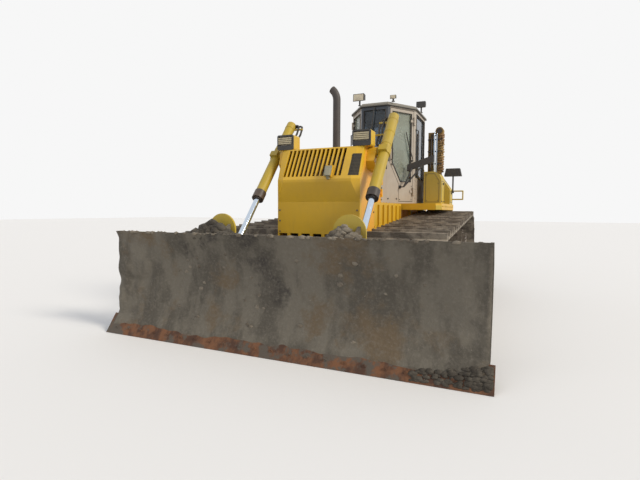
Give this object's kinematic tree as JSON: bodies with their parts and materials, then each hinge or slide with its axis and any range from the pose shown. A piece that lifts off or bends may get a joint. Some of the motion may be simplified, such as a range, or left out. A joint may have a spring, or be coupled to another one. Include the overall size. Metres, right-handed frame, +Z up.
{
  "type": "bulldozer",
  "caption": "Crawler bulldozer with wide shoes, a straight blade that lifts and tilts, a six-sided cab with two doors and hinged engine side doors.",
  "frame": {"origin": "on the ground under the middle of the machine", "axes": "-Y forward to the blade, +X to the machine's left side, +Z up"},
  "size_m": [4.046, 5.5, 3.3442],
  "materials": {
    "blade_steel": "mud-coated scraped paint",
    "cab_paint": "cream paint",
    "chrome_rod": "hard chrome",
    "dark_pipe": "sooty steel",
    "dark_trim": "black",
    "edge_steel": "rusty wear steel",
    "engine_iron": "oily",
    "frame_paint": "dirty paint",
    "lamp_lens": "frosted lens",
    "seat_cloth": "dark",
    "track_steel": "dry mud over steel",
    "window_glass": "tinted",
    "yellow_paint": "worn yellow machine paint"
  },
  "bodies": {
    "root": {"cab_floor": "cab_paint", "cab_glass": "window_glass", "cab_platform": "yellow_paint", "cab_roof": "cab_paint", "cab_shell": "cab_paint", "carrier_rollers": "track_steel", "cylinder_yoke_left": "yellow_paint", "cylinder_yoke_right": "yellow_paint", "dash_console": "dark_trim", "drawbar": "frame_paint", "engine_block": "engine_iron", "exhaust_pipe": "dark_pipe", "fenders": "yellow_paint", "final_drives": "frame_paint", "front_lamps": "yellow_paint", "fuel_tank": "yellow_paint", "handrails": "yellow_paint", "hood": "yellow_paint", "idlers": "track_steel", "lamp_guards": "dark_trim", "lamp_lenses": "lamp_lens", "main_frame": "frame_paint", "radiator": "dark_pipe", "radiator_guard": "yellow_paint", "radiator_mask": "yellow_paint", "rear_mast": "frame_paint", "roof_lamps": "dark_trim", "seat": "seat_cloth", "side_boxes": "yellow_paint", "sprockets": "track_steel", "tail_lamps": "dark_trim", "track_frame_left": "frame_paint", "track_frame_right": "frame_paint", "track_left": "track_steel", "track_right": "track_steel", "track_rollers": "track_steel"},
    "push_arm_left": {"push_arm_left": "frame_paint"},
    "brace_left": {"brace_left": "frame_paint"},
    "blade": {"moldboard": "blade_steel", "cutting_edge": "edge_steel", "end_bits": "edge_steel", "blade_frame": "blade_steel", "ball_sockets": "blade_steel", "blade_end_plates": "blade_steel", "rod_guards": "yellow_paint"},
    "push_arm_right": {"push_arm_right": "frame_paint"},
    "tilt_cylinder": {"tilt_cylinder": "yellow_paint"},
    "tilt_rod": {"tilt_rod": "chrome_rod"},
    "lift_cylinder_left": {"lift_cylinder_left": "yellow_paint"},
    "lift_cylinder_right": {"lift_cylinder_right": "yellow_paint"},
    "lift_rod_left": {"lift_rod_left": "chrome_rod"},
    "lift_rod_right": {"lift_rod_right": "chrome_rod"},
    "cab_door_left": {"cab_door_left": "cab_paint", "door_glass_left": "window_glass", "door_mirror_left": "dark_trim"},
    "cab_door_right": {"cab_door_right": "cab_paint", "door_glass_right": "window_glass", "door_mirror_right": "dark_trim"},
    "hood_door_left": {"hood_door_left": "yellow_paint"},
    "hood_door_right": {"hood_door_right": "yellow_paint"}
  },
  "joints": [
    {"name": "blade_lift", "type": "hinge", "parent": "root", "child": "push_arm_left", "pos_m": [1.6, 0.2, 0.44], "axis": [-1, 0, 0], "range_deg": [-10.6, 21.5]},
    {"name": "blade_tilt", "type": "hinge", "parent": "push_arm_left", "child": "blade", "pos_m": [1.6, -2.14, 0.44], "axis": [0, 1, 0], "range_deg": [-3, 3]},
    {"name": "arm_follow", "type": "hinge", "parent": "push_arm_left", "child": "push_arm_right", "pos_m": [-1.6, 0.2, 0.44], "axis": [-1, 0, 0], "range_deg": [-4.12, 4.12]},
    {"name": "brace_swing", "type": "hinge", "parent": "push_arm_left", "child": "brace_left", "pos_m": [1.6, -1.3, 0.69], "axis": [0, 0.1946, 0.9809], "range_deg": [-1.33, 1.33]},
    {"name": "tilt_cylinder_swing", "type": "hinge", "parent": "push_arm_right", "child": "tilt_cylinder", "pos_m": [-1.6, -1.3, 0.69], "axis": [0.6085, 0.1544, 0.7784], "range_deg": [-1.68, 1.68]},
    {"name": "tilt_rod_slide", "type": "slide", "parent": "tilt_cylinder", "child": "tilt_rod", "axis": [0, -0.9809, 0.1946], "range_m": [-0.0298, 0.0298]},
    {"name": "lift_cylinder_swing_left", "type": "hinge", "parent": "root", "child": "lift_cylinder_left", "pos_m": [0.7212, -1.173, 2.06], "axis": [-1, 0, 0], "range_deg": [-9.47, 19.16]},
    {"name": "lift_rod_slide_left", "type": "slide", "parent": "lift_cylinder_left", "child": "lift_rod_left", "axis": [0, 0.6494, 0.7604], "range_m": [-0.3904, 0.7909]},
    {"name": "lift_cylinder_swing_right", "type": "hinge", "parent": "root", "child": "lift_cylinder_right", "pos_m": [-0.7212, -1.173, 2.06], "axis": [-1, 0, 0], "range_deg": [-9.47, 19.16]},
    {"name": "lift_rod_slide_right", "type": "slide", "parent": "lift_cylinder_right", "child": "lift_rod_right", "axis": [0, 0.6494, 0.7604], "range_m": [-0.3904, 0.7909]},
    {"name": "cab_door_left_hinge", "type": "hinge", "parent": "root", "child": "cab_door_left", "pos_m": [0.55415, 1.29217, 1.5], "axis": [0, 0, 1], "range_deg": [0, 95]},
    {"name": "cab_door_right_hinge", "type": "hinge", "parent": "root", "child": "cab_door_right", "pos_m": [-0.55415, 1.29217, 1.5], "axis": [0, 0, -1], "range_deg": [0, 95]},
    {"name": "hood_door_left_hinge", "type": "hinge", "parent": "root", "child": "hood_door_left", "pos_m": [0.18728, 0.63342, 1.49], "axis": [0, 0, 1], "range_deg": [0, 85]},
    {"name": "hood_door_right_hinge", "type": "hinge", "parent": "root", "child": "hood_door_right", "pos_m": [-0.18728, 0.63342, 1.49], "axis": [0, 0, -1], "range_deg": [0, 85]}
  ],
  "couplings": [
    {"joint": "arm_follow", "follows": "blade_tilt", "ratio": 1.3675},
    {"joint": "brace_swing", "follows": "blade_tilt", "ratio": 0.4379},
    {"joint": "tilt_cylinder_swing", "follows": "blade_tilt", "ratio": 0.5518},
    {"joint": "tilt_rod_slide", "follows": "blade_tilt", "m_per_rad": 0.5589},
    {"joint": "lift_cylinder_swing_left", "follows": "blade_lift", "ratio": 0.889},
    {"joint": "lift_rod_slide_left", "follows": "blade_lift", "m_per_rad": 2.105},
    {"joint": "lift_cylinder_swing_right", "follows": "blade_lift", "ratio": 0.889},
    {"joint": "lift_rod_slide_right", "follows": "blade_lift", "m_per_rad": 2.105}
  ]
}
